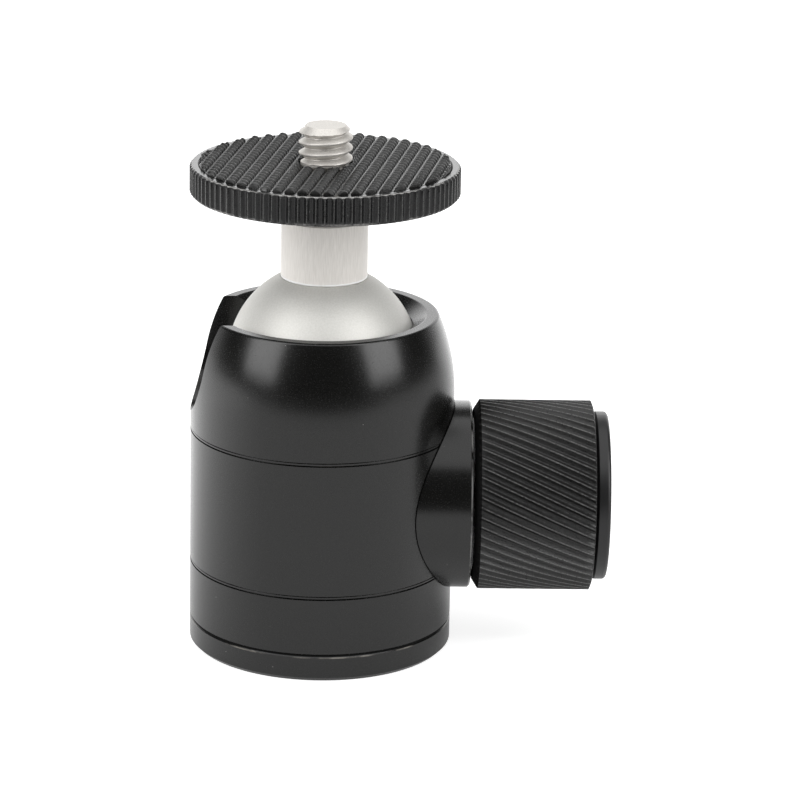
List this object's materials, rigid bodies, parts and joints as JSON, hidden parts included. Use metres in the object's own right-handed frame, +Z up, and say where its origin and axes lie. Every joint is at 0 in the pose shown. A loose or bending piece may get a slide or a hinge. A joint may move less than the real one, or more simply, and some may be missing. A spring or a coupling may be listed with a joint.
{
  "type": "tripod ball head",
  "caption": "Small tripod ball head: ball and neck in a domed housing with a side notch, a ribbed lock knob on the side, and a knurled camera plate with a threaded stud.",
  "frame": {"origin": "centre of the base's underside", "axes": "+Z up along the neck at rest, +X along the lock knob, -X out of the notch in the dome"},
  "size_m": [0.0502, 0.0318, 0.0637],
  "materials": {
    "black_anodised": "fine satin black anodised",
    "knob_metal": "satin black anodised",
    "plate_metal": "satin black anodised",
    "blasted_ball": "bead-blasted silver",
    "brushed_neck": "satin stainless steel",
    "stud_steel": "turned stainless steel",
    "inner_steel": "machined steel",
    "dark_screws": "black oxide",
    "cup_metal": "machined",
    "brass_bush": "turned",
    "liner_plastic": "moulded acetal",
    "grip_rubber": "fine-grained ribbed rubber",
    "pad_rubber": "ridged rubber"
  },
  "bodies": {
    "housing": {"main_housing": "black_anodised", "base_plate": "black_anodised", "base_screws": "dark_screws", "reducer_bush": "brass_bush", "lock_collar": "black_anodised", "key_pin": "inner_steel", "disc_spring": "inner_steel"},
    "cup": {"brake_cup": "cup_metal", "cup_liner": "liner_plastic"},
    "wedge": {"lock_wedge": "inner_steel"},
    "knob": {"lock_screw": "inner_steel", "knob_core": "knob_metal", "knob_grip": "grip_rubber", "knob_washer": "inner_steel", "knob_screw": "inner_steel", "knob_cap": "knob_metal"},
    "ball": {"ball": "blasted_ball"},
    "neck": {"neck": "brushed_neck", "camera_stud": "stud_steel"},
    "bush": {"plate_bush": "plate_metal"},
    "plate": {"camera_plate": "plate_metal", "plate_pad": "pad_rubber"}
  },
  "joints": [
    {"name": "ball_tilt", "type": "hinge", "parent": "housing", "child": "ball", "pos_m": [0, 0, 0.0352], "axis": [0, -1, 0], "range_deg": [-38, 90]},
    {"name": "ball_swivel", "type": "hinge", "parent": "ball", "child": "neck", "pos_m": [0, 0, 0.0352], "axis": [0, 0, 1], "continuous": true},
    {"name": "plate_lift", "type": "slide", "parent": "neck", "child": "bush", "axis": [0, 0, 1], "range_m": [0, 0.00127]},
    {"name": "plate_turn", "type": "hinge", "parent": "bush", "child": "plate", "pos_m": [0, 0, 0.0569], "axis": [0, 0, 1], "range_deg": [0, 360]},
    {"name": "lock_travel", "type": "slide", "parent": "housing", "child": "wedge", "axis": [1, 0, 0], "range_m": [0, 0.00125]},
    {"name": "knob_turn", "type": "hinge", "parent": "wedge", "child": "knob", "pos_m": [0.025, 0, 0.01835], "axis": [1, 0, 0], "range_deg": [0, 360]},
    {"name": "cup_lift", "type": "slide", "parent": "housing", "child": "cup", "axis": [0, 0, 1], "range_m": [-0.00034, 0], "deforming": ["disc_spring"]}
  ],
  "couplings": [
    {"joint": "plate_turn", "follows": "plate_lift", "rad_per_m": 4947.4},
    {"joint": "knob_turn", "follows": "lock_travel", "rad_per_m": 5026.5},
    {"joint": "cup_lift", "follows": "lock_travel", "ratio": -0.26795}
  ]
}
